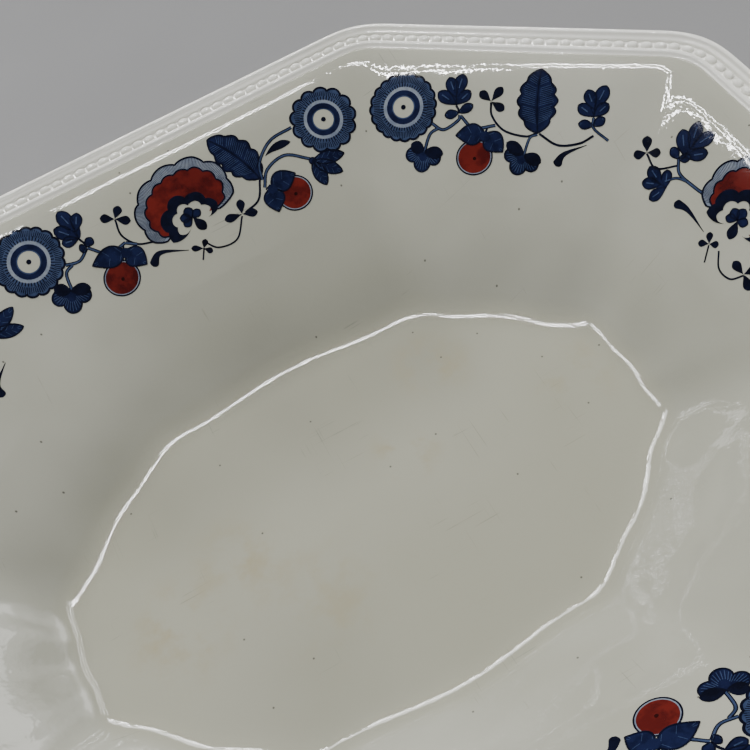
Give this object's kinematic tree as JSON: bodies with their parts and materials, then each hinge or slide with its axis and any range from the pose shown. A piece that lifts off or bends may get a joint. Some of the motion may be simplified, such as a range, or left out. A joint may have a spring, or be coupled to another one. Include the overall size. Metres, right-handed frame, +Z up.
{
  "type": "serving bowl",
  "caption": "Open eight-sided oblong porcelain serving bowl with sloping panelled walls, a beaded rim, a foot ring and a blue and red floral border inside.",
  "frame": {"origin": "centre of the foot ring's resting face", "axes": "+X along the bowl's length, +Y towards the back long side, +Z up out of the bowl"},
  "size_m": [0.25, 0.212, 0.05],
  "materials": {
    "glaze": "gloss",
    "blue_print": "gloss",
    "red_enamel": "gloss"
  },
  "bodies": {
    "root": {"bowl_body": "glaze", "foot_ring": "glaze", "rim_band": "glaze", "beads_long_back": "glaze", "beads_long_front": "glaze", "beads_end_right": "glaze", "beads_end_left": "glaze", "beads_corner_back_right": "glaze", "beads_corner_front_left": "glaze", "beads_corner_back_left": "glaze", "beads_corner_front_right": "glaze", "print_long_back": "blue_print", "print_long_front": "blue_print", "print_end_right": "blue_print", "print_end_left": "blue_print", "print_corner_back_right": "blue_print", "print_corner_front_left": "blue_print", "print_corner_back_left": "blue_print", "print_corner_front_right": "blue_print", "enamel_long_back": "red_enamel", "enamel_long_front": "red_enamel", "enamel_end_right": "red_enamel", "enamel_end_left": "red_enamel", "enamel_corner_back_right": "red_enamel", "enamel_corner_front_left": "red_enamel", "enamel_corner_back_left": "red_enamel", "enamel_corner_front_right": "red_enamel"}
  },
  "joints": []
}
